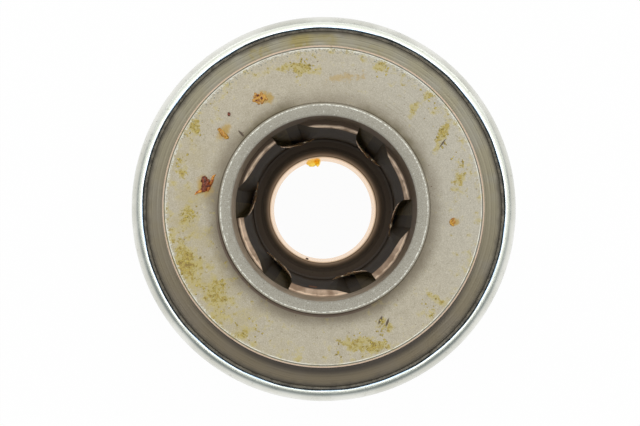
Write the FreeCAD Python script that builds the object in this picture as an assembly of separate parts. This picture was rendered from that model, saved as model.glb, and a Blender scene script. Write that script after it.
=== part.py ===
"""Starter drive: a pinion on a roller clutch, driven by a grooved sleeve, in millimetres.

The origin is the centre of the pinion's front face. +Z runs along the shaft, from the
pinion to the open rear end of the sleeve, where the armature shaft goes in.
"""
import FreeCAD, Part
import os
from math import acos, cos, pi, radians, sin, sqrt, tan
from FreeCAD import Vector

# Pinion gear
tooth_count = 13
tooth_module = 2.5
pressure_angle = radians(20)
profile_shift = 0.4
tip_shortening = 0.45
dedendum_ratio = 1.25
flank_sections = 5
face_width = 16.5
tooth_lead_chamfer = 1.6
tooth_back_chamfer = 0.8
neck_undercut = 0.7
neck_length = 2.5
neck_taper = 0.6
bore_chamfer = 0.6

# Bushes that run on the armature shaft
shaft_bore_radius = 9.2
bush_wall = 1.2
bush_end_recess = 0.8
rear_bush_recess = 0.2
bush_chamfer = 0.4
front_bush_length = 16.6
grease_gap = 1.0

# Sleeve: bore, six grooves, counterbore at the open end, pilot inside the pinion's shank
land_radius = 10.65
shoulder_width = 1.0
sleeve_wall = 1.6
shoulder_step = 0.5
counterbore_depth = 6.7
sleeve_end_chamfer = 0.3
counterbore_chamfer = 0.15
pilot_wall = 1.55
pilot_length = 2.2
pilot_play = 0.2
pilot_edge = 0.3

# One groove's section, as angles from its closed end, to which the section shrinks
groove_count = 6
groove_length = 19.6
groove_near_flank_angle = -14.6
groove_hollow_angle = -6.2
groove_hollow_height = 0.28
groove_near_floor_angle = 2.3
groove_mid_floor_angle = 12.0
groove_far_flank_angle = 20.8
groove_past_counterbore = 0.15
groove_cut_past_wall = 0.45
groove_cut_above_shoulder = 0.3
groove_end_ratio = 0.12
groove_sections = 6
first_groove_angle = 45.4

# Inner race, on the pinion's own shank, and the split washer that holds it
race_wall = 1.6
race_end_play = 0.3
race_edge = 0.5
retaining_groove_depth = 1.3
split_washer_thickness = 2.0
split_washer_side_play = 0.2
split_washer_bore_play = 0.2
split_washer_seat_wall = 3.9
split_washer_slit = 0.4

# Roller clutch
roller_count = 6
roller_radius = 3.5
roller_length = 11.4
roller_end_play = 0.2
roller_edge = 0.5
roller_gap = 0.05
ramp_angle = radians(6)
pocket_closed_end = 4.3
pocket_open_end = 5.4
pocket_corner = 0.8
pocket_inner_overlap = 1.0
hole_overlap = 1.0
race_clearance = 0.3
cam_wall = 4.9
cam_ring_edge = 0.3
web_thickness = 5.0
first_pocket_angle = 12.0

# Plungers and springs that hold the rollers in the narrow end of each pocket
plunger_radius = 1.9
plunger_length = 7.0
plunger_play = 0.1
plunger_wall = 0.45
plunger_floor = 1.0
plunger_nose = 0.3
roller_release = 1.2
hole_depth = 13.0
spring_wire_radius = 0.25
spring_turns = 5
spring_seat_gap = 0.05

# Fork groove, between the guide ring and the rear disc
guide_ring_thickness = 5.0
guide_step = 0.9
guide_ring_edge = 0.2
fork_groove_width = 9.0
disc_rim = 7.15
disc_thickness = 2.5
disc_edge = 0.3
disc_bore_chamfer = 0.9
sleeve_past_disc = 3.0

# Sheet metal shell that holds the clutch together
shell_wall = 1.2
shell_front_lip_gap = 1.2
shell_behind_teeth = 1.0
shell_front_bend = 1.6
shell_rim_gap = 0.3
shell_rim_proud = 0.2
shell_rim_bend = 1.3
shell_rim_edge = 0.3

# Front cover washer and its seal
cover_thickness = 3.0
cover_bore_play = 0.4
seal_thickness = 1.5
seal_height = 2.4
seal_edge = 0.3
seal_running_gap = 0.15

# Radii that follow
pitch_radius = tooth_module * tooth_count / 2
tip_radius = pitch_radius + tooth_module * (1 + profile_shift) - tip_shortening
root_radius = pitch_radius - tooth_module * (dedendum_ratio - profile_shift)
neck_radius = root_radius - neck_undercut
bush_radius = shaft_bore_radius + bush_wall
counterbore_radius = land_radius + shoulder_width
sleeve_radius = counterbore_radius + sleeve_wall
shoulder_radius = sleeve_radius + shoulder_step
pilot_radius = land_radius + pilot_wall
pilot_seat_radius = pilot_radius + pilot_play
race_radius = pilot_seat_radius + race_wall
roller_circle = race_radius + roller_radius + roller_gap
clutch_radius = race_radius + 2 * roller_radius + cam_wall
split_washer_radius = clutch_radius - split_washer_seat_wall
guide_face_radius = clutch_radius - guide_step
disc_radius = sleeve_radius + disc_rim
seal_radius = race_radius + seal_height
shell_front_lip_radius = race_radius + shell_front_lip_gap

# Stations along the shaft, from the pinion's front face
shell_front_z = face_width + neck_length + shell_behind_teeth
cover_front_z = shell_front_z + shell_wall
ring_front_z = cover_front_z + cover_thickness
washer_rear_z = ring_front_z + split_washer_thickness
groove_front_z = ring_front_z - split_washer_side_play
groove_rear_z = washer_rear_z + split_washer_side_play
roller_front_z = washer_rear_z + roller_end_play
web_front_z = roller_front_z + roller_length + roller_end_play
race_end_z = web_front_z - race_end_play
web_rear_z = web_front_z + web_thickness
guide_face_z = web_rear_z + guide_ring_thickness
rim_top_z = guide_face_z + shell_rim_proud
rim_seat_z = rim_top_z - shell_wall
disc_front_z = guide_face_z + fork_groove_width
disc_face_z = disc_front_z + disc_thickness
sleeve_end_z = disc_face_z + sleeve_past_disc
shoulder_z = sleeve_end_z - counterbore_depth
pilot_front_z = web_front_z - pilot_length
pilot_seat_z = pilot_front_z - race_end_play
roller_middle_z = roller_front_z + roller_length / 2

AXIS = Vector(0, 0, 1)
ORIGIN = Vector(0, 0, 0)
CUT_OVERLAP = tooth_module / 2


def corner_arc(before, corner, after, radius):
    """The start, middle and end of the arc that rounds a corner."""
    to_before = (before - corner).normalize()
    to_after = (after - corner).normalize()
    half_turn = to_before.getAngle(to_after) / 2
    bisector = (to_before + to_after).normalize()
    centre = corner + bisector * (radius / sin(half_turn))
    reach = radius / tan(half_turn)
    return corner + to_before * reach, centre - bisector * radius, corner + to_after * reach


def corner_bevel(before, corner, after, leg):
    """The start, middle and end of the flat that bevels a corner."""
    start = corner + (before - corner).normalize() * leg
    end = corner + (after - corner).normalize() * leg
    return start, (start + end) / 2, end


def rounded_face(corners, bevel=False):
    """A flat face from corners given as (point, radius of its rounding, or leg of its bevel)."""
    runs = []
    for i, (corner, radius) in enumerate(corners):
        if radius:
            before = corners[i - 1][0]
            after = corners[(i + 1) % len(corners)][0]
            cut = corner_bevel if bevel else corner_arc
            runs.append(cut(before, corner, after, radius))
        else:
            runs.append((corner, corner, corner))
    edges = []
    for i, (start, middle, end) in enumerate(runs):
        if start != end and bevel:
            edges.append(Part.LineSegment(start, end).toShape())
        elif start != end:
            edges.append(Part.Arc(start, middle, end).toShape())
        following = runs[(i + 1) % len(runs)][0]
        edges.append(Part.LineSegment(end, following).toShape())
    return Part.Face(Part.Wire(edges))


def turned(*corners, bevel=True):
    """A turned piece from its half section: corners as (radius, z) or (radius, z, bevel or rounding)."""
    points = [(Vector(c[0], 0, c[1]), c[2] if len(c) > 2 else 0) for c in corners]
    return rounded_face(points, bevel).revolve(ORIGIN, AXIS, 360)


def spun(shape, angle):
    """A copy turned about the shaft's axis."""
    copy = shape.copy()
    copy.rotate(ORIGIN, AXIS, angle)
    return copy


def around(shape, count, first=0.0):
    """Equally spaced copies about the shaft's axis."""
    return [spun(shape, first + 360 / count * i) for i in range(count)]


def polar(radius, angle, z=0.0):
    return Vector(radius * cos(angle), radius * sin(angle), z)


def involute(angle):
    return tan(angle) - angle


def tooth_outline():
    """The closed outline of the pinion's teeth: involute flanks, tip arcs, round roots."""
    base_radius = pitch_radius * cos(pressure_angle)
    pitch_thickness = tooth_module * (pi / 2 + 2 * profile_shift * tan(pressure_angle))
    base_half = pitch_thickness / (2 * pitch_radius) + involute(pressure_angle)
    flank = []
    for i in range(flank_sections + 1):
        radius = base_radius + (tip_radius - base_radius) * i / flank_sections
        half = base_half - involute(acos(min(1, base_radius / radius)))
        flank.append((radius, half))
    edges = []
    for tooth in range(tooth_count):
        middle = 2 * pi * tooth / tooth_count
        following = 2 * pi * (tooth + 1) / tooth_count
        rising = [polar(radius, middle - half) for radius, half in flank]
        falling = [polar(radius, middle + half) for radius, half in reversed(flank)]
        next_foot = polar(base_radius, following - base_half)
        root = polar(root_radius, (middle + following) / 2)
        for side in (rising, falling):
            curve = Part.BSplineCurve()
            curve.interpolate(side)
            edges.append(curve.toShape())
        edges.append(Part.Arc(rising[-1], polar(tip_radius, middle), falling[0]).toShape())
        edges.append(Part.Arc(falling[-1], root, next_foot).toShape())
    return Part.Wire(Part.__sortEdges__(edges))


def pinion_gear():
    """Toothed pinion with its shank: neck, collar, retaining groove and inner race."""
    teeth = Part.Face(tooth_outline()).extrude(Vector(0, 0, face_width))
    blank = turned(
        (0, 0),
        (tip_radius - tooth_lead_chamfer, 0),
        (tip_radius, tooth_lead_chamfer),
        (tip_radius, face_width - tooth_back_chamfer),
        (tip_radius - tooth_back_chamfer, face_width),
        (0, face_width),
    )
    teeth = teeth.common(blank)
    neck_end_z = face_width + neck_length
    groove_radius = race_radius - retaining_groove_depth
    shank = turned(
        (0, face_width - CUT_OVERLAP),
        (neck_radius, face_width - CUT_OVERLAP),
        (neck_radius, neck_end_z - neck_taper),
        (race_radius, neck_end_z),
        (race_radius, groove_front_z),
        (groove_radius, groove_front_z),
        (groove_radius, groove_rear_z),
        (race_radius, groove_rear_z),
        (race_radius, race_end_z, race_edge),
        (pilot_seat_radius, race_end_z),
        (pilot_seat_radius, pilot_seat_z),
        (0, pilot_seat_z),
    )
    bore = turned(
        (0, -CUT_OVERLAP),
        (bush_radius + bore_chamfer + CUT_OVERLAP, -CUT_OVERLAP),
        (bush_radius, bore_chamfer),
        (bush_radius, pilot_seat_z + CUT_OVERLAP),
        (0, pilot_seat_z + CUT_OVERLAP),
    )
    return teeth.fuse(shank).cut(bore).removeSplitter()


def bush(front_z, rear_z):
    """Bronze bush, pressed into the pinion."""
    return turned(
        (shaft_bore_radius, front_z + bush_chamfer),
        (shaft_bore_radius + bush_chamfer, front_z),
        (bush_radius, front_z),
        (bush_radius, rear_z),
        (shaft_bore_radius + bush_chamfer, rear_z),
        (shaft_bore_radius, rear_z - bush_chamfer),
    )


def pinion_bush_front():
    return bush(bush_end_recess, bush_end_recess + front_bush_length)


def pinion_bush_rear():
    front_z = bush_end_recess + front_bush_length + grease_gap
    return bush(front_z, pilot_seat_z - rear_bush_recess)


def groove_cutter():
    """One groove: a hollow near flank and a steep far one, shrinking to its closed end."""
    floor = counterbore_radius - land_radius + groove_past_counterbore
    corners = [
        (-groove_cut_past_wall, groove_near_flank_angle),
        (0, groove_near_flank_angle),
        (groove_hollow_height, groove_hollow_angle),
        (floor, groove_near_floor_angle),
        (floor, groove_mid_floor_angle),
        (floor, groove_far_flank_angle),
        (0, groove_far_flank_angle),
        (-groove_cut_past_wall, groove_far_flank_angle),
    ]
    middle = Vector(land_radius, 0, 0)
    top_z = shoulder_z + groove_cut_above_shoulder
    length = groove_length + groove_cut_above_shoulder
    wires = []
    for i in range(groove_sections + 1):
        along = pi / 2 * i / groove_sections
        scale = max(cos(along), groove_end_ratio)
        z = top_z - length * sin(along)
        points = []
        for height, angle in corners:
            full = polar(land_radius + height, radians(angle))
            point = middle + (full - middle) * scale
            points.append(Vector(point.x, point.y, z))
        wires.append(Part.makePolygon(points + points[:1]))
    return Part.makeLoft(wires, True)


def pocket_cutter():
    """One cam pocket: the ramp above the roller falls towards the pocket's closed end."""
    ramp_height = roller_circle + (roller_radius + roller_gap) / cos(ramp_angle)
    inside = race_radius - pocket_inner_overlap
    outline = [
        (Vector(inside, -pocket_closed_end, 0), 0),
        (Vector(ramp_height - pocket_closed_end * tan(ramp_angle), -pocket_closed_end, 0), pocket_corner),
        (Vector(ramp_height + pocket_open_end * tan(ramp_angle), pocket_open_end, 0), pocket_corner),
        (Vector(inside, pocket_open_end, 0), 0),
    ]
    pocket = rounded_face(outline).extrude(Vector(0, 0, web_front_z - washer_rear_z))
    pocket.translate(Vector(0, 0, washer_rear_z))
    return pocket


def along_plunger(shape):
    """Moves a piece made along +Z from the roller's centre onto the first plunger's axis."""
    copy = shape.copy()
    copy.rotate(ORIGIN, Vector(1, 0, 0), -90)
    copy.translate(Vector(roller_circle, 0, roller_middle_z))
    return copy


def drive_sleeve():
    """Sleeve, web and cam ring in one forging."""
    body = turned(
        (land_radius, pilot_front_z),
        (pilot_radius, pilot_front_z, pilot_edge),
        (pilot_radius, web_front_z),
        (race_radius + race_clearance, web_front_z),
        (race_radius + race_clearance, washer_rear_z),
        (split_washer_radius, washer_rear_z),
        (split_washer_radius, ring_front_z),
        (clutch_radius, ring_front_z, cam_ring_edge),
        (clutch_radius, web_rear_z, cam_ring_edge),
        (shoulder_radius, web_rear_z),
        (shoulder_radius, disc_front_z),
        (sleeve_radius, disc_front_z),
        (sleeve_radius, sleeve_end_z - sleeve_end_chamfer),
        (sleeve_radius - sleeve_end_chamfer, sleeve_end_z),
        (counterbore_radius + counterbore_chamfer, sleeve_end_z),
        (counterbore_radius, sleeve_end_z - counterbore_chamfer),
        (counterbore_radius, shoulder_z),
        (land_radius, shoulder_z),
    )
    hole_start = pocket_open_end - hole_overlap
    hole = Part.makeCylinder(plunger_radius + plunger_play, hole_depth - hole_start, Vector(0, 0, hole_start))
    cutters = around(pocket_cutter(), roller_count, first_pocket_angle)
    cutters += around(along_plunger(hole), roller_count, first_pocket_angle)
    cutters += around(groove_cutter(), groove_count, first_groove_angle)
    for cutter in cutters:
        body = body.cut(cutter)
    return body


def roller():
    """Clutch roller at the narrow end of the first pocket."""
    rear_z = roller_front_z + roller_length
    shape = turned(
        (0, roller_front_z),
        (roller_radius, roller_front_z, roller_edge),
        (roller_radius, rear_z, roller_edge),
        (0, rear_z),
    )
    shape.translate(Vector(roller_circle, 0, 0))
    return shape


def roller_plunger():
    """Hollow plunger between the roller and its spring."""
    front = roller_radius + roller_gap
    rear = front + plunger_length
    bore = plunger_radius - plunger_wall
    return along_plunger(turned(
        (0, front),
        (plunger_radius, front, plunger_nose),
        (plunger_radius, rear),
        (bore, rear),
        (bore, front + plunger_floor),
        (0, front + plunger_floor),
    ))


def roller_spring():
    """Coil spring from the plunger's floor to the bottom of its hole."""
    start = roller_radius + roller_gap + plunger_floor + spring_seat_gap + spring_wire_radius
    end = hole_depth - spring_seat_gap - spring_wire_radius
    coil_radius = plunger_radius - plunger_wall - spring_seat_gap - spring_wire_radius
    helix = Part.makeHelix((end - start) / spring_turns, end - start, coil_radius)
    section = Part.Circle(Vector(coil_radius, 0, 0), Vector(0, 1, 0), spring_wire_radius)
    coil = Part.Wire(helix).makePipeShell([Part.Wire(section.toShape())], True, True)
    coil.translate(Vector(0, 0, start))
    return along_plunger(coil)


def front_cover_washer():
    """Steel washer that closes the clutch and carries the seal."""
    bore = race_radius + cover_bore_play
    seal_rear_z = cover_front_z + seal_thickness
    return turned(
        (seal_radius, cover_front_z),
        (clutch_radius, cover_front_z, shell_front_bend - shell_wall),
        (clutch_radius, ring_front_z),
        (bore, ring_front_z),
        (bore, seal_rear_z),
        (seal_radius, seal_rear_z),
    )


def seal_ring():
    """Rubber ring that keeps dirt out and grease in at the pinion's neck."""
    inside = race_radius + seal_running_gap
    seal_rear_z = cover_front_z + seal_thickness
    return turned(
        (inside, cover_front_z, seal_edge),
        (seal_radius, cover_front_z),
        (seal_radius, seal_rear_z),
        (inside, seal_rear_z, seal_edge),
    )


def split_washer_halves():
    """Washer in two halves, which sits in the retaining groove and holds the pinion in."""
    bore = race_radius - retaining_groove_depth + split_washer_bore_play
    washer = turned(
        (bore, ring_front_z),
        (split_washer_radius, ring_front_z),
        (split_washer_radius, washer_rear_z),
        (bore, washer_rear_z),
    )
    reach = split_washer_radius + CUT_OVERLAP
    slit = Part.makeBox(
        2 * reach, split_washer_slit, 2 * reach, Vector(-reach, -split_washer_slit / 2, ring_front_z - reach)
    )
    return washer.cut(slit).Solids


def fork_guide_ring():
    """Hard ring that the fork pushes on. The shell's rim is turned in over its step."""
    return turned(
        (shoulder_radius, web_rear_z),
        (clutch_radius, web_rear_z),
        (clutch_radius, rim_seat_z),
        (guide_face_radius, rim_seat_z),
        (guide_face_radius, guide_face_z, guide_ring_edge),
        (shoulder_radius, guide_face_z, guide_ring_edge),
    )


def rear_fork_disc():
    """Disc pressed on the sleeve against its shoulder, the rear wall of the fork groove."""
    return turned(
        (sleeve_radius, disc_front_z),
        (disc_radius, disc_front_z, disc_edge),
        (disc_radius, disc_face_z, disc_edge),
        (sleeve_radius + disc_bore_chamfer, disc_face_z),
        (sleeve_radius, disc_face_z - disc_bore_chamfer),
    )


def clutch_shell():
    """Drawn steel shell: front lip turned in, rear rim turned in over the guide ring's step."""
    outside = clutch_radius + shell_wall
    rim_radius = guide_face_radius + shell_rim_gap
    return turned(
        (shell_front_lip_radius, shell_front_z),
        (outside, shell_front_z, shell_front_bend),
        (outside, rim_top_z, shell_rim_bend),
        (rim_radius, rim_top_z, shell_rim_edge),
        (rim_radius, rim_seat_z),
        (clutch_radius, rim_seat_z),
        (clutch_radius, cover_front_z, shell_front_bend - shell_wall),
        (shell_front_lip_radius, cover_front_z),
        bevel=False,
    )


def all_pieces():
    pieces = {
        "pinion_gear": pinion_gear(),
        "pinion_bush_front": pinion_bush_front(),
        "pinion_bush_rear": pinion_bush_rear(),
        "drive_sleeve": drive_sleeve(),
        "clutch_shell": clutch_shell(),
        "front_cover_washer": front_cover_washer(),
        "seal_ring": seal_ring(),
        "fork_guide_ring": fork_guide_ring(),
        "rear_fork_disc": rear_fork_disc(),
    }
    for number, half in enumerate(split_washer_halves(), 1):
        pieces[f"split_washer_{number}"] = half
    for name, shape in (("roller", roller()), ("roller_plunger", roller_plunger()), ("roller_spring", roller_spring())):
        for number, copy in enumerate(around(shape, roller_count, first_pocket_angle), 1):
            pieces[f"{name}_{number}"] = copy
    return pieces


os.makedirs("parts", exist_ok=True)
for node, piece in all_pieces().items():
    piece.exportStep(f"parts/{node}.step")
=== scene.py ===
"""Starter drive, seen from the open rear end of its sleeve.

Lengths that belong to the drive are written in millimetres and turned into Blender's
metres by MM. The shaft's axis is Z, and the rear end is up.
"""
from math import cos, hypot, pi, radians, sin, tan
from random import Random

import bmesh
import bpy
from mathutils import Matrix, Vector, noise


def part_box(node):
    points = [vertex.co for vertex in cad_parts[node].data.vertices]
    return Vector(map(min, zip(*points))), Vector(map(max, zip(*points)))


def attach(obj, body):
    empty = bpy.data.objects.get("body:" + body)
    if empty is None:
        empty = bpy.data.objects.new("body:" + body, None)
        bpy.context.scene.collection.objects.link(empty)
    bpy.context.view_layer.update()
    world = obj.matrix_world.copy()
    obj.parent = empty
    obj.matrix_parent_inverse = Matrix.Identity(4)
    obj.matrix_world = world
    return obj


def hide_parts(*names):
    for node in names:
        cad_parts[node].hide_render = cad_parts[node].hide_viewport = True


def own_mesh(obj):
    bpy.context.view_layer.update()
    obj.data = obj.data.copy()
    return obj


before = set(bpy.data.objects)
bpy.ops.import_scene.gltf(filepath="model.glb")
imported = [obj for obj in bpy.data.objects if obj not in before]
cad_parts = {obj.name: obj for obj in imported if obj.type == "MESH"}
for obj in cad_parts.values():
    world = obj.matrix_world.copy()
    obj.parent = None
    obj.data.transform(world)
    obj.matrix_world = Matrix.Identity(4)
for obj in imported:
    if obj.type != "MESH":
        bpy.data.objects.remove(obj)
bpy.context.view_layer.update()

MM = 0.001
TURNED_STEPS = 320
ARC_STEPS = 7

# Camera: just off the shaft's axis, looking straight down into the sleeve
CAMERA_PLACE = (-0.525, -0.5625, 182.5)
CAMERA_LENS = 54
CAMERA_SENSOR = 36

# The sleeve, in millimetres, and its grooves' angles in degrees
SLEEVE_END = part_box("drive_sleeve")[1].z / MM
SLEEVE_RADIUS = 13.25
SLEEVE_WALL_MIDDLE = 12.4
CHAMFER_START = 12.95
SHOULDER = SLEEVE_END - 6.7
SHOULDER_MIDDLE = (0.03, -0.28)
LAND_RADIUS = 10.65
GROOVE_COUNT = 6
GROOVE_SPACING = 60
FIRST_GROOVE = 45.4
GROOVE_LENGTH = 19.6

# The disc: in the photo its edge reaches a little beyond the CAD's, and leans to one side
DISC_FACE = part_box("rear_fork_disc")[1].z / MM
EDGE_BEYOND_CAD = 0.28
DISC_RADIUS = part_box("rear_fork_disc")[1].x / MM + EDGE_BEYOND_CAD
DISC_LEAN = (-0.09, 0.26)

# The rings round the sleeve and the bore that the shaft runs in
GUIDE_BORE = 13.75
GUIDE_RADIUS = 25.0
RIM_RADIUS = 25.3
BUSH_BORE = 9.2

VALUE = "NodeSocketFloat"
VECTOR = "NodeSocketVector"
MEASURES = ("LENGTH", "DISTANCE", "DOT_PRODUCT")


def srgb(red, green, blue):
    """A colour as seen on screen, 0 to 255, turned into Blender's linear one."""
    def linear(value):
        share = value / 255
        return share / 12.92 if share <= 0.04045 else ((share + 0.055) / 1.055) ** 2.4
    return linear(red), linear(green), linear(blue), 1


class Tree:
    """Adds nodes to one node tree. An input is a value, or a socket to link from."""

    def __init__(self, tree):
        self.tree = tree

    def fill(self, sockets, inputs):
        for name, value in inputs.items():
            if isinstance(value, bpy.types.NodeSocket):
                self.tree.links.new(value, sockets[name])
            else:
                sockets[name].default_value = value

    def add(self, kind, inputs=None, **settings):
        node = self.tree.nodes.new(kind)
        for name, value in settings.items():
            setattr(node, name, value)
        self.fill(node.inputs, inputs or {})
        return node

    def math(self, operation, first, second=0.5, third=0.5):
        inputs = {0: first, 1: second, 2: third}
        return self.add("ShaderNodeMath", inputs, operation=operation).outputs[0]

    def scaled(self, mask, share):
        """A mask times a share of it, or times another mask."""
        return self.math("MULTIPLY", mask, share)

    def shifted(self, value, by, share):
        """A value plus a share of another."""
        return self.math("MULTIPLY_ADD", by, share, value)

    def vector(self, operation, first, second=(0, 0, 0)):
        """A new vector, or a value where the operation measures one."""
        node = self.add("ShaderNodeVectorMath", {0: first, 1: second}, operation=operation)
        return node.outputs["Value" if operation in MEASURES else "Vector"]

    def flat(self, where):
        return self.vector("MULTIPLY", where, (1, 1, 0))

    def mix(self, factor, first, second):
        """Two colours mixed; factor 0 gives the first."""
        inputs = {0: factor, 6: first, 7: second}
        return self.add("ShaderNodeMix", inputs, data_type="RGBA").outputs[2]

    def between(self, factor, first, second):
        """Two values mixed; factor 0 gives the first."""
        return self.add("ShaderNodeMix", {0: factor, 2: first, 3: second}).outputs[0]

    def rise(self, value, start, end, low=0.0, high=1.0):
        """A smooth change from low at start to high at end."""
        inputs = {"Value": value, "From Min": start, "From Max": end, "To Min": low, "To Max": high}
        return self.add("ShaderNodeMapRange", inputs, interpolation_type="SMOOTHSTEP").outputs[0]

    def band(self, value, start, end, soft):
        """1 between start and end, falling to 0 over soft outside them."""
        rising = self.rise(value, start - soft, start)
        falling = self.rise(value, end, end + soft, 1.0, 0.0)
        return self.scaled(rising, falling)

    def noise(self, where, size, detail=3.0, roughness=0.5):
        """Noise from 0 to 1 whose lumps are about size millimetres."""
        inputs = {"Vector": where, "Scale": 1 / size, "Detail": detail, "Roughness": roughness}
        return self.add("ShaderNodeTexNoise", inputs).outputs["Fac"]

    def bump(self, height, distance, strength):
        """A normal that follows height. Distance is in millimetres."""
        inputs = {"Height": height, "Distance": distance * MM, "Strength": strength}
        return self.add("ShaderNodeBump", inputs).outputs[0]


# Effects that several finishes use

def new_group(name, inputs, outputs):
    """A shader node group. Inputs are (name, kind, value), outputs (name, kind)."""
    group = bpy.data.node_groups.new(name, "ShaderNodeTree")
    for socket, kind, value in inputs:
        made = group.interface.new_socket(socket, in_out="INPUT", socket_type=kind)
        made.default_value = value
    for socket, kind in outputs:
        group.interface.new_socket(socket, in_out="OUTPUT", socket_type=kind)
    tree = Tree(group)
    start = tree.add("NodeGroupInput").outputs
    end = tree.add("NodeGroupOutput").inputs
    return group, tree, start, end


def make_place_group():
    """A point's place in millimetres, its radius, height and angle, and how far it faces up."""
    outputs = [("Place", VECTOR), ("Radius", VALUE), ("Height", VALUE), ("Up", VALUE),
               ("Angle", VALUE)]
    group, tree, _, end = new_group("place_on_drive", [], outputs)
    where = tree.add("ShaderNodeTexCoord").outputs
    enlarged = {0: where["Object"], "Scale": 1 / MM}
    place = tree.add("ShaderNodeVectorMath", enlarged, operation="SCALE").outputs[0]
    parts = tree.add("ShaderNodeSeparateXYZ", {0: place}).outputs
    facing = tree.add("ShaderNodeSeparateXYZ", {0: where["Normal"]}).outputs
    angle = tree.math("DEGREES", tree.math("ARCTAN2", parts["Y"], parts["X"]))
    radius = tree.vector("LENGTH", tree.flat(place))
    tree.fill(end, {"Place": place, "Radius": radius, "Height": parts["Z"], "Up": facing["Z"],
                    "Angle": angle})
    return group


def make_grain_group():
    """Fine grain with scattered bright and dark specks, as on blasted or phosphated steel."""
    inputs = [("Place", VECTOR, (0, 0, 0)), ("Size", VALUE, 0.15)]
    outputs = [("Grain", VALUE), ("Bright Specks", VALUE), ("Dark Specks", VALUE)]
    group, tree, start, end = new_group("fine_grain", inputs, outputs)
    scale = tree.math("DIVIDE", 1.0, start["Size"])
    fine = {"Vector": start["Place"], "Scale": scale, "Detail": 4.0, "Roughness": 0.7}
    grain = tree.add("ShaderNodeTexNoise", fine).outputs["Fac"]
    wide = {"Vector": start["Place"], "Scale": tree.scaled(scale, 0.45), "Detail": 2.0}
    specks = tree.add("ShaderNodeTexNoise", wide).outputs["Fac"]
    tree.fill(end, {"Grain": grain, "Bright Specks": tree.rise(specks, 0.64, 0.72),
                    "Dark Specks": tree.rise(specks, 0.27, 0.35, 1.0, 0.0)})
    return group


def make_turned_group():
    """Fine rings left by a lathe tool, uneven in depth and tone."""
    inputs = [("Radius", VALUE, 0.0), ("Place", VECTOR, (0, 0, 0)), ("Pitch", VALUE, 0.25),
              ("Wander", VALUE, 0.1)]
    group, tree, start, end = new_group("turned_rings", inputs, [("Rings", VALUE)])
    drift = tree.noise(start["Place"], 6.0, 1.0)
    wandered = tree.shifted(start["Radius"], drift, start["Wander"])
    across = tree.math("DIVIDE", wandered, start["Pitch"])
    cuts = {"W": across, "Scale": 1.0, "Detail": 3.0, "Roughness": 0.75}
    rings = tree.add("ShaderNodeTexNoise", cuts, noise_dimensions="1D").outputs["Fac"]
    patchy = tree.rise(tree.noise(start["Place"], 3.0, 2.0), 0.35, 0.65, 0.35, 1.0)
    centred = tree.math("SUBTRACT", rings, 0.5)
    tree.fill(end, {"Rings": tree.shifted(0.5, centred, patchy)})
    return group


def make_edge_group():
    """Where a sharp outer edge is rubbed bright."""
    inputs = [("Width", VALUE, 0.15), ("Place", VECTOR, (0, 0, 0))]
    group, tree, start, end = new_group("rubbed_edge", inputs, [("Rubbed", VALUE)])
    radius = tree.scaled(start["Width"], MM)
    rounded = tree.add("ShaderNodeBevel", {"Radius": radius}, samples=6).outputs[0]
    plain = tree.add("ShaderNodeNewGeometry").outputs["Normal"]
    turn = tree.math("SUBTRACT", 1.0, tree.vector("DOT_PRODUCT", rounded, plain))
    broken = tree.rise(tree.noise(start["Place"], 0.5), 0.25, 0.6, 0.3, 1.0)
    tree.fill(end, {"Rubbed": tree.scaled(tree.rise(turn, 0.01, 0.12), broken)})
    return group


def make_spot_group():
    """A ragged stain about one place on a face that looks along Z."""
    inputs = [("Place", VECTOR, (0, 0, 0)), ("Middle", VECTOR, (0, 0, 0)),
              ("Size", VECTOR, (1, 1, 1)), ("Turn", VALUE, 0.0), ("Ragged", VALUE, 0.4),
              ("Soft", VALUE, 0.3)]
    group, tree, start, end = new_group("stain_spot", inputs, [("Spot", VALUE)])
    from_middle = tree.vector("SUBTRACT", start["Place"], start["Middle"])
    turned = tree.add("ShaderNodeVectorRotate", {"Vector": from_middle, "Angle": start["Turn"]},
                      rotation_type="Z_AXIS").outputs[0]
    reach = tree.vector("LENGTH", tree.flat(tree.vector("DIVIDE", turned, start["Size"])))
    ragged = tree.math("SUBTRACT", tree.noise(start["Place"], 0.9, 5.0, 0.65), 0.5)
    uneven = tree.shifted(reach, tree.scaled(ragged, 4.0), start["Ragged"])
    inner = tree.math("SUBTRACT", 1.0, start["Soft"])
    tree.fill(end, {"Spot": tree.rise(uneven, inner, 1.0, 1.0, 0.0)})
    return group


def make_grease_group():
    """Old grease, dried to a broken film with thicker crumbs. Cover is how much lies there."""
    inputs = [("Place", VECTOR, (0, 0, 0)), ("Cover", VALUE, 0.0)]
    outputs = [("Film", VALUE), ("Crumbs", VALUE), ("Cores", VALUE)]
    group, tree, start, end = new_group("dried_grease", inputs, outputs)
    wide = tree.math("SUBTRACT", tree.noise(start["Place"], 1.3, 5.0, 0.62), 0.5)
    fine = tree.math("SUBTRACT", tree.noise(start["Place"], 0.42, 4.0, 0.6), 0.5)
    film = tree.shifted(tree.shifted(start["Cover"], fine, 1.0), wide, 3.4)
    crumbs = tree.shifted(tree.shifted(start["Cover"], wide, 2.2), fine, 4.6)
    tree.fill(end, {"Film": tree.rise(film, 0.3, 1.1), "Crumbs": tree.rise(crumbs, 1.05, 1.35),
                    "Cores": tree.rise(crumbs, 1.55, 1.75)})
    return group


place_group = make_place_group()
grain_group = make_grain_group()
turned_group = make_turned_group()
edge_group = make_edge_group()
spot_group = make_spot_group()
grease_group = make_grease_group()


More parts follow.
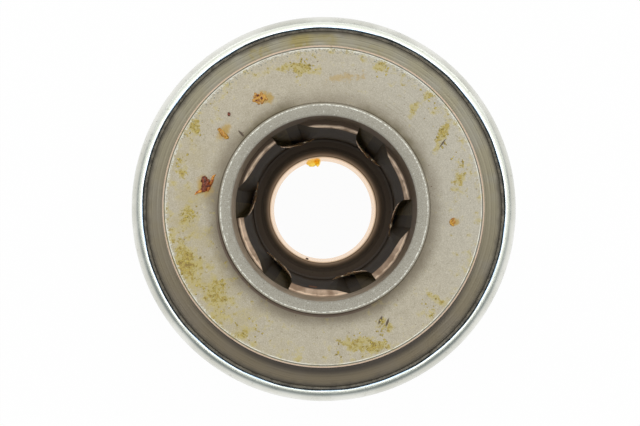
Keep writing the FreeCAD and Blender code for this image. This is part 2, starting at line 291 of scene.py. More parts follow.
class Finish(Tree):
    """A material's tree, with the place on the drive at hand."""

    def __init__(self, name):
        self.material = bpy.data.materials.new(name)
        self.material.use_nodes = True
        super().__init__(self.material.node_tree)
        self.tree.nodes.clear()
        place = self.group(place_group)
        self.place = place["Place"]
        self.radius = place["Radius"]
        self.height = place["Height"]
        self.up = place["Up"]
        self.angle = place["Angle"]

    def group(self, group, inputs=None):
        return self.add("ShaderNodeGroup", inputs, node_tree=group).outputs

    def patches(self, size, detail=3.0, roughness=0.5):
        """Noise over the drive whose lumps are about size millimetres."""
        return self.noise(self.place, size, detail, roughness)

    def grain(self, size):
        return self.group(grain_group, {"Place": self.place, "Size": size})

    def turned(self, across, pitch, wander):
        """Tool marks that follow each other across a radius or a height."""
        inputs = {"Place": self.place, "Radius": across, "Pitch": pitch, "Wander": wander}
        return self.group(turned_group, inputs)["Rings"]

    def spot(self, middle, size, turn=0.0, ragged=0.4, soft=0.3):
        """A stain's mask. Middle and size are (x, y) in millimetres."""
        inputs = {"Place": self.place, "Middle": (*middle, 0), "Size": (*size, 1),
                  "Turn": radians(turn), "Ragged": ragged, "Soft": soft}
        return self.group(spot_group, inputs)["Spot"]

    def away_from(self, x, y):
        """Distance from a line beside the shaft's axis."""
        return self.vector("DISTANCE", self.flat(self.place), (x, y, 0))

    def toward(self, angle):
        """How far a point lies from the axis in one direction, in millimetres."""
        return self.vector("DOT_PRODUCT", self.place, (cos(radians(angle)), sin(radians(angle)), 0))

    def most(self, *masks):
        """The highest of several masks."""
        highest = masks[0]
        for mask in masks[1:]:
            highest = self.math("MAXIMUM", highest, mask)
        return highest

    def shade(self, color, roughness, metallic, normal, **fixed):
        """The surface itself. Fixed are the shader's constant inputs, underscores for spaces."""
        inputs = {"Base Color": color, "Roughness": roughness, "Metallic": metallic,
                  "Normal": normal}
        inputs.update({name.replace("_", " "): value for name, value in fixed.items()})
        surface = self.add("ShaderNodeBsdfPrincipled", inputs)
        self.add("ShaderNodeOutputMaterial", {"Surface": surface.outputs[0]})
        return self.material


# Finishes of the drive's own pieces

def sleeve_outside(f, mottle):
    """The tube's outside: turned, with patches of old oil."""
    drawn = f.turned(f.height, 0.35, 0.2)
    color = f.mix(f.rise(drawn, 0.3, 0.7), srgb(98, 92, 82), srgb(136, 129, 117))
    return f.mix(f.rise(mottle, 0.45, 0.75, 0.0, 0.5), color, srgb(92, 80, 56))


def sleeve_end_face(f, grain):
    """Grey and grainy, with a broken bright line where the chamfer starts."""
    color = f.mix(f.rise(grain["Grain"], 0.3, 0.7), srgb(136, 132, 121), srgb(170, 166, 155))
    color = f.mix(f.scaled(grain["Dark Specks"], 0.5), color, srgb(96, 90, 81))
    color = f.mix(f.scaled(grain["Bright Specks"], 0.6), color, srgb(206, 205, 196))
    uneven = f.shifted(f.radius, f.patches(1.4, 2.0), 0.12)
    # Wear where the chamfer starts, painted as a broken bright highlight line
    worn_and_highlight_line = f.band(uneven, CHAMFER_START + 0.04, CHAMFER_START + 0.14, 0.05)
    breaks = f.rise(f.patches(0.26), 0.4, 0.62, 0.15, 1.0)
    chamfer = f.rise(uneven, CHAMFER_START + 0.08, CHAMFER_START + 0.2)
    color = f.mix(chamfer, color, srgb(158, 152, 138))
    return f.mix(f.scaled(worn_and_highlight_line, breaks), color, srgb(238, 238, 228))


def sleeve_walls(f, mottle):
    """The dark lands, and the grooves and counterbore's wall with painted light and shade, as if
    lit from one side.
    """
    # Degrees past the nearest groove's middle, from 20 before it to 40 after it
    past_groove = f.math("SUBTRACT", f.angle, FIRST_GROOVE)
    past_groove = f.math("WRAP", past_groove, GROOVE_SPACING - 20.0, -20.0)
    # Painted light on the grooves: a lighter patch past each groove's middle and lighter near the
    # top of the bore; painted near-black shade on the rest of each groove
    lit_patch = f.band(past_groove, 10.4, 30.0, 0.6)
    lit_patch = f.scaled(lit_patch, f.rise(mottle, 0.3, 0.6, 0.5, 1.0))
    painted_light_near_top = f.rise(f.height, 46.5, 50.0)
    lit = f.most(lit_patch, f.scaled(painted_light_near_top, 0.3))
    groove = f.mix(lit, srgb(17, 15, 12), srgb(88, 76, 46))
    land = f.mix(f.rise(mottle, 0.35, 0.7), srgb(46, 40, 35), srgb(58, 51, 45))
    land = f.mix(f.rise(f.height, 50.0, 37.0), land, srgb(86, 76, 67))
    rust = f.spot((-1.5, -10.6), (0.7, 0.7), 0, 0.2, 0.5)
    rust = f.scaled(rust, f.band(f.height, 51.6, 53.4, 0.6))
    land = f.mix(f.scaled(rust, 0.8), land, srgb(150, 84, 34))
    walls = f.mix(f.rise(f.radius, LAND_RADIUS + 0.02, LAND_RADIUS + 0.07), land, groove)
    # Painted light and shade on the counterbore's wall: lighter on one side, darker on the other
    lit_side = f.rise(f.toward(-128), -6.0, 10.0)
    counterbore = f.mix(lit_side, srgb(106, 92, 78), srgb(196, 178, 156))
    counterbore = f.mix(f.rise(mottle, 0.3, 0.7, 0.0, 0.4), counterbore, srgb(96, 82, 68))
    return f.mix(f.rise(f.height, SHOULDER - 0.1, SHOULDER + 0.3), walls, counterbore)


def sleeve_shoulder(f, grain, mottle):
    """Tan, with a rubbed line painted bright as a highlight and painted shade in the counterbore's
    corner.
    """
    color = f.mix(f.rise(mottle, 0.32, 0.66), srgb(152, 128, 108), srgb(216, 192, 170))
    color = f.mix(f.scaled(grain["Dark Specks"], 0.4), color, srgb(120, 92, 72))
    uneven = f.shifted(f.away_from(*SHOULDER_MIDDLE), f.patches(0.8, 4.0), 0.3)
    # A rubbed line near the outer edge, painted bright as that edge's highlight
    rubbed = f.scaled(f.band(uneven, 11.26, 11.38, 0.06), f.rise(mottle, 0.35, 0.55, 0.2, 1.0))
    color = f.mix(rubbed, color, srgb(246, 222, 196))
    # Painted shade in the corner against the counterbore's wall
    color = f.mix(f.rise(uneven, 11.46, 11.6), color, srgb(86, 72, 60))
    beside_land = f.rise(f.radius, LAND_RADIUS + 0.01, LAND_RADIUS + 0.13, 0.7, 0.0)
    return f.mix(beside_land, color, srgb(110, 90, 74))


def sleeve_finish():
    """Phosphated steel: grey on the sleeve's end, oily brown in the bore, tan on the shoulder."""
    f = Finish("sleeve_steel")
    grain = f.grain(0.12)
    mottle = f.patches(1.6, 4.0)
    in_bore = f.rise(f.radius, SLEEVE_WALL_MIDDLE + 0.1, SLEEVE_WALL_MIDDLE)
    on_end = f.rise(f.height, SLEEVE_END - 0.35, SLEEVE_END - 0.2)
    facing_up = f.rise(f.up, 0.5, 0.9)
    bore = f.mix(facing_up, sleeve_walls(f, mottle), sleeve_shoulder(f, grain, mottle))
    color = f.mix(in_bore, sleeve_outside(f, mottle), bore)
    color = f.mix(on_end, color, sleeve_end_face(f, grain))
    normal = f.bump(grain["Grain"], 0.04, 0.5)
    return f.shade(color, f.between(in_bore, 0.5, 0.65), 0.1, normal, Specular_IOR_Level=0.25,
                   Specular_Tint=(1.0, 0.9, 0.78, 1.0))


def disc_base(f, grain, rings):
    """The disc's own steel, with the oil that has crept out from under the sleeve and painted shade
    beside the tube.
    """
    mottle = f.patches(1.3, 5.0, 0.6)
    sand = f.patches(0.11, 2.0, 0.8)
    color = f.mix(f.rise(mottle, 0.25, 0.75), srgb(171, 161, 140), srgb(182, 173, 154))
    color = f.mix(f.rise(f.toward(25), 4.0, 18.0, 0.0, 0.6), color, srgb(177, 172, 160))
    color = f.mix(f.rise(sand, 0.48, 0.75, 0.0, 0.6), color, srgb(212, 206, 190))
    color = f.mix(f.rise(sand, 0.52, 0.26, 0.0, 0.5), color, srgb(134, 125, 107))
    color = f.mix(f.scaled(grain["Dark Specks"], 0.35), color, srgb(122, 112, 90))
    turned_side = f.spot((11.5, 12.5), (7.5, 7.5), 0, 0.2, 0.6)
    tool_marks = f.scaled(turned_side, f.rise(rings, 0.45, 0.7, 0.0, 0.5))
    color = f.mix(tool_marks, color, srgb(150, 142, 124))
    left_film = f.scaled(f.rise(f.toward(200), 8.0, 18.0), f.rise(f.patches(3.0, 4.0), 0.35, 0.65))
    color = f.mix(f.scaled(left_film, 0.5), color, srgb(168, 152, 100))

    # Oil beside the tube, darkened further as painted shade, strongest towards the bottom
    oil_and_shade_edge = f.shifted(13.7, f.patches(3.0), 1.8)
    near_tube = f.math("SUBTRACT", oil_and_shade_edge, f.radius)
    oil_and_shade = f.scaled(f.rise(near_tube, -1.3, 1.0), f.rise(f.toward(-110), -14.0, 8.0, 0.45, 0.85))
    color = f.mix(oil_and_shade, color, srgb(118, 106, 86))
    beside = f.most(f.band(f.angle, 28, 62, 14.0), f.band(f.angle, 112, 136, 10.0))
    smear_edge = f.shifted(f.radius, f.patches(1.8, 5.0), -1.6)
    smear = f.scaled(beside, f.rise(smear_edge, 13.9, 12.7))
    color = f.mix(f.scaled(smear, 0.85), color, srgb(104, 94, 66))
    tube_shadow = f.scaled(f.rise(f.toward(-118), 4.0, 11.0), f.band(f.radius, 13.2, 13.86, 0.12))
    return f.mix(f.scaled(tube_shadow, 0.75), color, srgb(84, 60, 48))


def disc_grease(f):
    """Where dried grease lies on the disc, most of it at the left and at the bottom."""
    return f.most(
        f.scaled(f.rise(f.radius, 16.5, 20.2), 0.42),
        f.scaled(f.rise(f.toward(206), 10.0, 19.0), 0.62),
        f.scaled(f.spot((-18.5, 5.0), (1.4, 2.9), -14, 0.4, 0.8), 0.8),
        f.scaled(f.spot((-17.5, -1.0), (1.4, 2.4), 8, 0.3, 0.8), 1.0),
        f.scaled(f.spot((-17.9, -6.9), (1.8, 4.7), -18, 0.3, 0.7), 1.3),
        f.scaled(f.spot((-13.9, -10.8), (2.6, 2.9), 30, 0.4, 0.7), 1.1),
        f.scaled(f.spot((-9.8, -15.8), (4.4, 1.4), -16, 0.3, 0.8), 0.75),
        f.scaled(f.spot((-16.6, 10.6), (1.1, 2.2), -30, 0.3, 0.7), 1.05),
        f.scaled(f.spot((-3.6, 18.0), (3.6, 1.2), 8, 0.3, 0.7), 1.1),
        f.scaled(f.spot((7.4, 18.3), (2.0, 1.0), -24, 0.3, 0.7), 0.95),
        f.scaled(f.spot((12.9, 14.2), (5.2, 1.1), -44, 0.4, 0.8), 0.85),
        f.scaled(f.spot((15.1, 9.4), (0.9, 2.7), 24, 0.3, 0.7), 1.15),
        f.scaled(f.spot((17.2, 3.6), (1.3, 5.6), 8, 0.4, 0.9), 0.85),
        f.scaled(f.spot((14.4, -11.8), (2.6, 1.1), 46, 0.4, 0.8), 0.9),
        f.scaled(f.spot((5.6, -17.6), (5.2, 1.5), 8, 0.4, 0.7), 1.25),
        f.scaled(f.spot((7.6, -15.0), (1.6, 1.2), 20, 0.3, 0.7), 1.05),
    )


def disc_marks(f, color):
    """Dark scuffs, rust stains and specks, each at its own place on the disc."""
    scuffs = f.most(
        f.spot((7.2, -14.3), (0.2, 0.7), 24, 0.15, 0.5),
        f.spot((8.1, -14.6), (0.2, 0.7), 20, 0.15, 0.5),
        f.spot((15.2, 8.4), (0.14, 0.9), 36, 0.1, 0.6),
        f.spot((-10.6, 9.6), (0.7, 0.18), 46, 0.3, 0.5),
    )
    color = f.mix(f.scaled(scuffs, 0.9), color, srgb(66, 46, 26))
    rust_stains = f.most(
        f.spot((-15.3, 2.9), (1.2, 1.7), -24, 0.2, 0.6),
        f.spot((-12.8, 9.9), (0.8, 1.5), 34, 0.3, 0.6),
        f.spot((16.8, -1.7), (0.8, 0.6), 0, 0.45, 0.6),
        f.spot((-7.7, 14.25), (1.55, 0.95), 8, 0.4, 0.5),
        f.scaled(f.spot((2.6, 16.9), (2.6, 0.7), -6, 1.3, 0.9), 0.6),
    )
    color = f.mix(f.scaled(rust_stains, 0.8), color, srgb(172, 138, 50))
    where_dense = f.rise(f.patches(1.5, 1.0), 0.45, 0.6)
    specks = f.scaled(f.rise(f.patches(0.34, 1.0), 0.72, 0.78), where_dense)
    return f.mix(f.scaled(specks, 0.85), color, srgb(98, 74, 50))


def disc_edge(f, color):
    """A rubbed outer corner, painted shade in the fine groove and a painted highlight on the ridge,
    with chips beside them.
    """
    from_edge = f.math("SUBTRACT", DISC_RADIUS, f.away_from(*DISC_LEAN))
    chips = f.patches(0.24, 2.0, 0.6)
    chipped_side = f.rise(f.toward(128), -16.0, 4.0, 0.05, 0.8)
    chipped = f.scaled(f.band(from_edge, 0.42, 0.6, 0.1), chipped_side)
    color = f.mix(f.scaled(chipped, f.rise(chips, 0.42, 0.66)), color, srgb(214, 215, 208))
    worn_off = f.scaled(f.band(from_edge, 0.66, 0.98, 0.1), f.rise(f.toward(100), 5.0, 18.0))
    color = f.mix(f.scaled(worn_off, f.rise(chips, 0.46, 0.3)), color, srgb(98, 108, 108))
    # Painted highlight: a broken bright line along the ridge
    breaks = f.rise(f.patches(1.2), 0.35, 0.6, 0.3, 1.0)
    color = f.mix(f.scaled(f.band(from_edge, 0.38, 0.44, 0.05), breaks), color, srgb(226, 224, 212))
    # Painted shade: a dark line in the fine groove
    color = f.mix(f.scaled(f.band(from_edge, 0.24, 0.3, 0.05), 0.75), color, srgb(84, 88, 86))
    color = f.mix(f.rise(from_edge, 0.2, 0.14), color, srgb(202, 176, 154))
    below = f.rise(f.height, DISC_FACE - 0.5, DISC_FACE - 0.3, 1.0, 0.0)
    return f.mix(below, color, srgb(96, 90, 78))


def disc_finish():
    """Matte grey steel with olive stains of dried grease and rust."""
    f = Finish("disc_steel")
    grain = f.grain(0.17)
    rings = f.turned(f.radius, 0.3, 0.2)
    color = disc_base(f, grain, rings)
    grease = f.group(grease_group, {"Place": f.place, "Cover": disc_grease(f)})
    color = f.mix(f.scaled(grease["Film"], 0.75), color, srgb(178, 162, 92))
    color = f.mix(f.scaled(grease["Crumbs"], 0.6), color, srgb(170, 146, 48))
    color = f.mix(f.scaled(grease["Cores"], 0.65), color, srgb(112, 86, 38))
    color = disc_edge(f, disc_marks(f, color))
    height = f.shifted(grain["Grain"], rings, 0.3)
    height = f.shifted(height, grease["Crumbs"], 1.2)
    return f.shade(color, 0.55, 0.1, f.bump(height, 0.05, 0.7))


def guide_finish():
    """Turned steel with an olive film of old oil, and painted shade under the disc, towards the
    bottom and beside the rim.
    """
    f = Finish("stained_steel")
    rings = f.turned(f.radius, 0.22, 0.25)
    on_ridges = f.rise(rings, 0.36, 0.64)
    color = f.mix(on_ridges, srgb(106, 101, 88), srgb(150, 146, 132))
    broad = f.turned(f.radius, 0.7, 0.4)
    color = f.mix(f.rise(broad, 0.45, 0.65, 0.0, 0.5), color, srgb(112, 110, 98))
    top_film = f.shifted(0.3, f.spot((-3.0, 24.0), (13.0, 5.0), 0, 0.8, 0.9), 0.8)
    film = f.scaled(f.rise(f.patches(3.6, 5.0), 0.3, 0.6), top_film)
    color = f.mix(film, color, f.mix(on_ridges, srgb(98, 88, 46), srgb(146, 134, 88)))
    # Painted shade: darker towards the bottom
    color = f.mix(f.rise(f.toward(-100), -20.0, 25.0, 0.0, 0.7), color, srgb(94, 80, 62))
    # Painted shadow of the disc on the ring
    painted_disc_shadow = f.rise(f.shifted(f.radius, f.toward(-84), -0.055), 22.5, 21.4)
    color = f.mix(f.scaled(painted_disc_shadow, 0.9), color, srgb(54, 47, 41))
    # Painted shade beside the rolled rim
    painted_rim_shade = f.rise(f.shifted(f.radius, f.patches(2.0, 4.0), 0.8), 24.5, 25.25)
    color = f.mix(f.scaled(painted_rim_shade, 0.85), color, srgb(72, 66, 56))
    return f.shade(color, 0.42, 0.5, f.bump(rings, 0.03, 0.7))


def plated_finish():
    """Bright zinc plate: clean on the rolled rim, drawn and handled on the side wall."""
    f = Finish("plated_shell")
    haze = f.patches(5.0, 4.0)
    drawn = f.turned(f.height, 0.5, 0.3)
    on_wall = f.rise(f.height, 47.4, 46.4)
    rim = f.mix(f.rise(haze, 0.35, 0.7), srgb(214, 214, 206), srgb(234, 234, 228))
    rim = f.mix(f.rise(f.radius, 26.2, 25.95), rim, srgb(186, 188, 180))
    # Painted blue reflection along the rim's inner edge
    blue_edge_reflection = f.scaled(f.rise(f.radius, 25.58, 25.4), f.rise(f.height, 46.0, 47.5))
    rim = f.mix(blue_edge_reflection, rim, srgb(142, 164, 186))
    wall = f.mix(f.rise(drawn, 0.3, 0.7), srgb(158, 157, 151), srgb(196, 195, 189))
    wall = f.mix(f.rise(haze, 0.55, 0.75, 0.0, 0.45), wall, srgb(138, 134, 122))
    oil_line = f.shifted(f.height, haze, 5.0)
    wall = f.mix(f.rise(oil_line, 25.5, 22.5, 0.0, 0.6), wall, srgb(96, 86, 68))
    color = f.mix(on_wall, rim, wall)
    color = f.mix(f.scaled(f.grain(0.2)["Dark Specks"], 0.35), color, srgb(130, 127, 116))
    roughness = f.math("ADD", f.rise(haze, 0.3, 0.75, 0.22, 0.34), f.scaled(on_wall, 0.04))
    height = f.shifted(f.patches(2.5, 2.0), f.scaled(drawn, on_wall), 0.3)
    return f.shade(color, roughness, 1.0, f.bump(height, 0.02, 0.35))


def gear_finish():
    """Hardened steel, darker in the roots, dark with oil in the bore, bright where it is rubbed."""
    f = Finish("hardened_steel")
    grain = f.grain(0.25)["Grain"]
    rubbed = f.group(edge_group, {"Place": f.place, "Width": 0.3})["Rubbed"]
    deep = f.rise(f.radius, 15.5, 18.6, 1.0, 0.0)
    color = f.mix(f.rise(grain, 0.3, 0.7), srgb(112, 108, 102), srgb(148, 145, 138))
    color = f.mix(f.scaled(deep, 0.6), color, srgb(84, 76, 66))
    color = f.mix(rubbed, color, srgb(214, 211, 202))
    in_bore = f.scaled(f.rise(f.radius, 13.0, 12.8), f.rise(f.height, 30.0, 33.0))
    color = f.mix(in_bore, color, srgb(94, 82, 71))
    roughness = f.most(f.rise(grain, 0.3, 0.8, 0.28, 0.45), f.scaled(in_bore, 0.7))
    return f.shade(color, roughness, f.between(in_bore, 0.85, 0.0), f.bump(grain, 0.04, 0.4))


def bronze_finish():
    """Oil-soaked bronze: the front bush's bore is clean and bright, the rest dark with oil and
    painted lighter towards the front.
    """
    f = Finish("bronze")
    grain = f.grain(0.14)
    mottle = f.patches(1.2, 4.0)
    clean = f.rise(f.height, 11.0, 18.6, 1.0, 0.0)
    worn = f.mix(f.rise(mottle, 0.3, 0.7), srgb(222, 182, 126), srgb(244, 212, 156))
    # Dark with oil, with painted light that grows towards the front end, where light from below
    # would come up the bore
    oiled_and_lit_below = f.mix(f.rise(f.height, 17.4, 32.0), srgb(128, 98, 74), srgb(48, 38, 31))
    oiled_and_lit_below = f.mix(f.rise(mottle, 0.3, 0.7, 0.0, 0.4), oiled_and_lit_below, srgb(46, 34, 27))
    facing_up = f.rise(f.up, 0.4, 0.8)
    oiled_and_lit_below = f.mix(facing_up, oiled_and_lit_below, srgb(94, 82, 71))
    color = f.mix(clean, oiled_and_lit_below, worn)
    color = f.mix(f.scaled(grain["Dark Specks"], 0.4), color, srgb(52, 40, 32))
    roughness = f.between(clean, f.rise(f.height, 17.4, 33.0, 0.5, 0.85), 0.14)
    metallic = f.rise(f.up, 0.4, 0.8, 0.95, 0.0)
    normal = f.bump(grain["Grain"], 0.01, 0.3)
    return f.shade(color, roughness, metallic, normal, Specular_IOR_Level=0.2,
                   Specular_Tint=(1.0, 0.82, 0.62, 1.0))


def washer_finish():
    """Turned steel with patches of old oil."""
    f = Finish("washer_steel")
    rings = f.turned(f.radius, 0.3, 0.1)
    film = f.rise(f.patches(2.0, 4.0), 0.4, 0.75)
    color = f.mix(f.rise(rings, 0.3, 0.7), srgb(128, 126, 120), srgb(170, 168, 160))
    color = f.mix(f.scaled(film, 0.5), color, srgb(104, 90, 66))
    return f.shade(color, 0.38, 0.8, f.bump(rings, 0.02, 0.5))


def grained_finish(name, dark, light, size, roughness, metallic, depth, strength):
    """A plain surface between two tones, with fine grain."""
    f = Finish(name)
    grain = f.grain(size)["Grain"]
    color = f.mix(f.rise(grain, 0.3, 0.7), dark, light)
    return f.shade(color, roughness, metallic, f.bump(grain, depth, strength))


def rubber_finish():
    return grained_finish("seal_rubber", srgb(30, 29, 28), srgb(48, 46, 43), 0.2, 0.6, 0.0,
                          0.05, 0.6)


def ground_finish(name, dark, light, roughness):
    """Ground or drawn steel between two tones."""
    return grained_finish(name, dark, light, 0.2, roughness, 0.95, 0.01, 0.4)


# Finishes of wear, rust and grease

def burr_finish():
    """Steel rubbed bright by the splined shaft."""
    f = Finish("worn_burr")
    color = f.mix(f.rise(f.patches(0.3), 0.35, 0.65), srgb(244, 208, 170), srgb(255, 240, 216))
    return f.shade(color, 0.44, 1.0, f.bump(f.patches(0.1, 2.0), 0.01, 0.3))


def crust_finish(name, dark, light, size):
    """A crust of rust or dried grease between two tones, glossy with oil."""
    f = Finish(name)
    lumps = f.patches(size, 4.0, 0.65)
    color = f.mix(f.rise(lumps, 0.35, 0.65), dark, light)
    return f.shade(color, 0.38, 0.0, f.bump(lumps, 0.08, 0.8))


def grease_finish():
    """Clean yellow grease, which lets light through."""
    f = Finish("clean_grease")
    lumps = f.patches(0.5, 2.0)
    color = f.mix(f.rise(lumps, 0.3, 0.7), srgb(255, 208, 72), srgb(255, 228, 118))
    normal = f.bump(lumps, 0.02, 0.3)
    return f.shade(color, 0.45, 0.0, normal, Transmission_Weight=0.95, IOR=1.08)


finishes = {
    "hardened_steel": gear_finish(),
    "bronze": bronze_finish(),
    "sleeve_steel": sleeve_finish(),
    "plated_shell": plated_finish(),
    "washer_steel": washer_finish(),
    "seal_rubber": rubber_finish(),
    "stained_steel": guide_finish(),
    "disc_steel": disc_finish(),
    "ground_steel": ground_finish("ground_steel", srgb(150, 150, 150), srgb(196, 196, 194), 0.22),
    "spring_wire": ground_finish("spring_wire", srgb(90, 88, 84), srgb(130, 127, 120), 0.35),
    "worn_burr": burr_finish(),
    "dark_rust": crust_finish("dark_rust", srgb(66, 24, 10), srgb(140, 62, 24), 0.3),
    "orange_rust": crust_finish("orange_rust", srgb(146, 66, 22), srgb(214, 146, 50), 0.45),
    "amber_rust": crust_finish("amber_rust", srgb(148, 92, 26), srgb(206, 156, 58), 0.45),
    "rim_grease": crust_finish("rim_grease", srgb(74, 68, 58), srgb(122, 114, 98), 0.9),
    "dried_grease": crust_finish("dried_grease", srgb(134, 114, 46), srgb(194, 176, 90), 0.5),
    "clean_grease": grease_finish(),
}

# The CAD nodes get their finishes by the record's slots
record_slots = set()
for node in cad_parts.values():
    for material_slot in node.material_slots:
        slot_name = material_slot.material.name
        record_slots.add(slot_name)
        material_slot.material = finishes[slot_name]


# Shared makers of pieces

def finished_piece(name, mesh, body, finish):
    """A bmesh made into a smooth piece that rides a body."""
    bmesh.ops.recalc_face_normals(mesh, faces=mesh.faces)
    for face in mesh.faces:
        face.smooth = True
    data = bpy.data.meshes.new(name)
    mesh.to_mesh(data)
    mesh.free()
    piece = bpy.data.objects.new(name, data)
    bpy.context.scene.collection.objects.link(piece)
    data.materials.append(finishes[finish])
    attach(piece, body)
    return piece


def section(*corners):
    """A half section as points (radius, z), its corners (radius, z) or (radius, z, rounding)."""
    points = []
    for i, corner in enumerate(corners):
        here = Vector(corner[:2])
        rounding = corner[2] if len(corner) > 2 else 0
        if not rounding:
            points.append(here)
            continue
        to_before = (Vector(corners[i - 1][:2]) - here).normalized()
        to_after = (Vector(corners[(i + 1) % len(corners)][:2]) - here).normalized()
        half_turn = to_before.angle(to_after) / 2
        centre = here + (to_before + to_after).normalized() * rounding / sin(half_turn)
        start = here + to_before * rounding / tan(half_turn) - centre
        swing = start.angle_signed(here + to_after * rounding / tan(half_turn) - centre)
        for step in range(ARC_STEPS + 1):
            turn = Matrix.Rotation(-swing * step / ARC_STEPS, 2)
            points.append(centre + turn @ start)
    return points


def turned_piece(name, points, body, finish, waver=None):
    """A closed ring turned from its half section. Waver says how far a point is moved."""
    mesh = bmesh.new()
    rings = []
    for step in range(TURNED_STEPS):
        angle = 2 * pi * step / TURNED_STEPS
        ring = []
        for point in points:
            moved = point + waver(point, angle) if waver else point
            x, y = moved.x * cos(angle), moved.x * sin(angle)
            ring.append(mesh.verts.new((x * MM, y * MM, moved.y * MM)))
        rings.append(ring)
    count = len(points)
    for step, ring in enumerate(rings):
        following = rings[(step + 1) % TURNED_STEPS]
        for i in range(count):
            j = (i + 1) % count
            mesh.faces.new((ring[i], ring[j], following[j], following[i]))
    piece = finished_piece(name, mesh, body, finish)
    weighted = piece.modifiers.new("even_shading", "WEIGHTED_NORMAL")
    weighted.weight = 100
    return piece


def outline_of(node):
    """A turned CAD node's outer radius, lowest z and highest z, in millimetres."""
    low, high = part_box(node)
    return high.x / MM, low.z / MM, high.z / MM


def around(radius, angle, z):
    """The place at an angle about the shaft's axis."""
    return Vector((radius * cos(angle), radius * sin(angle), z))


def add_bead(mesh, places, radii, steps=8, facing=None):
    """A round bead along places, thinner or thicker as radii say, closed at its ends.

    Facing is a direction that the path never takes, for a bead that isn't on a bore's wall.
    """
    rings = []
    for i, place in enumerate(places):
        before = places[max(i - 1, 0)]
        after = places[min(i + 1, len(places) - 1)]
        along = (after - before).normalized()
        inward = facing or Vector((-place.x, -place.y, 0))
        inward = (inward - along * inward.dot(along)).normalized()
        across = along.cross(inward)
        ring = []
        for step in range(steps):
            turn = 2 * pi * step / steps
            offset = (inward * cos(turn) + across * sin(turn)) * radii[i]
            ring.append(mesh.verts.new((place + offset) * MM))
        rings.append(ring)
    for first, second in zip(rings, rings[1:]):
        for i in range(steps):
            j = (i + 1) % steps
            mesh.faces.new((first[i], first[j], second[j], second[i]))
    mesh.faces.new(rings[0])
    mesh.faces.new(rings[-1])


def add_lump(mesh, place, size, turn=0.0, rough=0.35, detail=2):
    """A lump of rust or grease, sunk in the face that it lies on."""
    made = bmesh.ops.create_icosphere(mesh, subdivisions=detail, radius=1)
    spin = Matrix.Rotation(radians(turn), 3, "Z")
    for vert in made["verts"]:
        swell = 1 + rough * noise.noise(vert.co * 1.6 + Vector(place) * 3.1)
        point = Vector((vert.co.x * size[0], vert.co.y * size[1], vert.co.z * size[2])) * swell
        vert.co = (Vector(place) + spin @ point) * MM


def add_tail(mesh, corners):
    """Rust that has run out from a lump to a thin end, along corners (x, y) on the disc."""
    places = [Vector((x, y, DISC_FACE - 0.05)) for x, y in corners]
    add_bead(mesh, places, (0.2, 0.22, 0.16, 0.03), 8, Vector((0, 0, 1)))


# Turned pieces and springs, which take the place of plainer CAD nodes

def build_disc():
    """The rear disc, its edge worn to a lip and a fine groove."""
    face = DISC_FACE
    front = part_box("rear_fork_disc")[0].z / MM
    outside = DISC_RADIUS
    bore = SLEEVE_RADIUS

    def leaning(point, angle):
        """The disc's edge isn't quite concentric with its bore."""
        share = max(0, (point.x - bore) / (outside - bore))
        lean = DISC_LEAN[0] * cos(angle) + DISC_LEAN[1] * sin(angle)
        return Vector((share * lean, 0))

    disc = turned_piece("fork_disc", section(
        (bore, front),
        (outside, front, 0.3),
        (outside, face - 0.04, 0.14),
        (outside - 0.2, face - 0.04, 0.04),
        (outside - 0.27, face - 0.11, 0.03),
        (outside - 0.34, face - 0.04, 0.04),
        (outside - 0.41, face, 0.05),
        (outside - 0.55, face - 0.04, 0.05),
        (bore + 0.4, face - 0.04, 0.12),
        (bore, face - 0.4),
    ), "drive", "disc_steel", leaning)
    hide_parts("rear_fork_disc")


def build_guide_ring():
    """The fork groove's front wall, with a wider foot under the shell's rim."""
    outside, front, face = outline_of("fork_guide_ring")
    foot = 47.0
    guide = turned_piece("guide_ring", section(
        (GUIDE_BORE, front),
        (outside, front),
        (outside, foot),
        (GUIDE_RADIUS, foot),
        (GUIDE_RADIUS, face, 0.3),
        (GUIDE_BORE, face, 0.2),
    ), "drive", "stained_steel")
    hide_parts("fork_guide_ring")


def build_rim_grease():
    """Old grease that fills the gap between the guide ring and the rolled rim."""
    bottom = 47.05

    def uneven(point, angle):
        place = Vector((cos(angle), sin(angle), 0)) * 9
        return Vector((0, 0.16 * noise.noise(place) if point.y > bottom + 0.15 else 0))

    turned_piece("rim_grease", section(
        (24.7, bottom),
        (25.5, bottom),
        (25.5, 47.4),
        (RIM_RADIUS, 47.95, 0.1),
        (24.96, 47.85, 0.1),
    ), "drive", "rim_grease", uneven)


def build_shell():
    """The sheet metal shell, rolled in over the guide ring at its rear."""
    outside, front, top = outline_of("clutch_shell")
    wall = 1.2
    rim = RIM_RADIUS
    front_hole = 15.2

    def rolled_edge(point, angle):
        """The rolled rim's inner edge isn't quite round."""
        share = max(0, 1 - abs(point.x - rim) / 0.5) if point.y > top - wall - 0.1 else 0
        wave = 0.035 * sin(7 * angle + 0.6) + 0.03 * sin(17 * angle) + 0.02 * sin(31 * angle + 2)
        return Vector((share * (wave - 0.02), 0))

    shell = turned_piece("rolled_shell", section(
        (front_hole, front, 0.3),
        (outside, front, 1.6),
        (outside, top, 1.3),
        (rim, top, 0.2),
        (rim, top - wall, 0.1),
        (outside - wall, top - wall),
        (outside - wall, front + wall, 0.4),
        (front_hole, front + wall, 0.1),
    ), "drive", "plated_shell", rolled_edge)
    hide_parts("clutch_shell")


